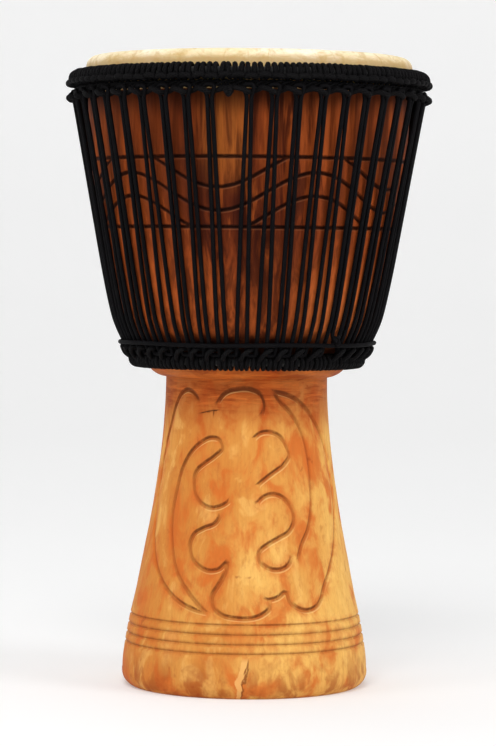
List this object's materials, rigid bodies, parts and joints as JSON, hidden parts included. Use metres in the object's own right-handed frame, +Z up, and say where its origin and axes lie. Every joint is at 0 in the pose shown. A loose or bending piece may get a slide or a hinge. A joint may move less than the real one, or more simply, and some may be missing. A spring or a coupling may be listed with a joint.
{
  "type": "djembe",
  "caption": "Rope-tuned goblet drum with a carved wooden shell, skin head, roped steel rings and laced tension rope.",
  "frame": {"origin": "centre of the foot's base, on the floor", "axes": "+Z up along the drum's axis to the head; -Y is the carved front, +X to its right"},
  "size_m": [0.3493, 0.3494, 0.6],
  "materials": {
    "carved_wood": "oiled, stained darker on the bowl",
    "goat_skin": "dry rawhide",
    "steel_ring": "mill",
    "cloth_wrap": "woven strip",
    "black_cord": "braided polyester",
    "black_rope": "braided low-stretch polyester"
  },
  "bodies": {
    "drum": {"shell": "carved_wood", "drumhead_skin": "goat_skin", "bottom_ring": "steel_ring", "bottom_ring_wrap": "cloth_wrap", "bottom_hitches": "black_cord", "bottom_loops": "black_cord", "tension_rope": "black_rope", "spare_rope_turn": "black_rope", "tail_knot": "black_rope"},
    "crown": {"flesh_ring": "steel_ring", "crown_ring": "steel_ring", "crown_ring_wrap": "cloth_wrap", "crown_hitches": "black_cord", "crown_cord_run": "black_cord", "crown_loops": "black_cord", "crown_knot": "black_cord"}
  },
  "joints": [
    {"name": "head_tuning", "type": "slide", "parent": "drum", "child": "crown", "axis": [0, 0, -1], "range_m": [-0.003, 0.008], "deforming": ["tension_rope", "drumhead_skin"]}
  ]
}
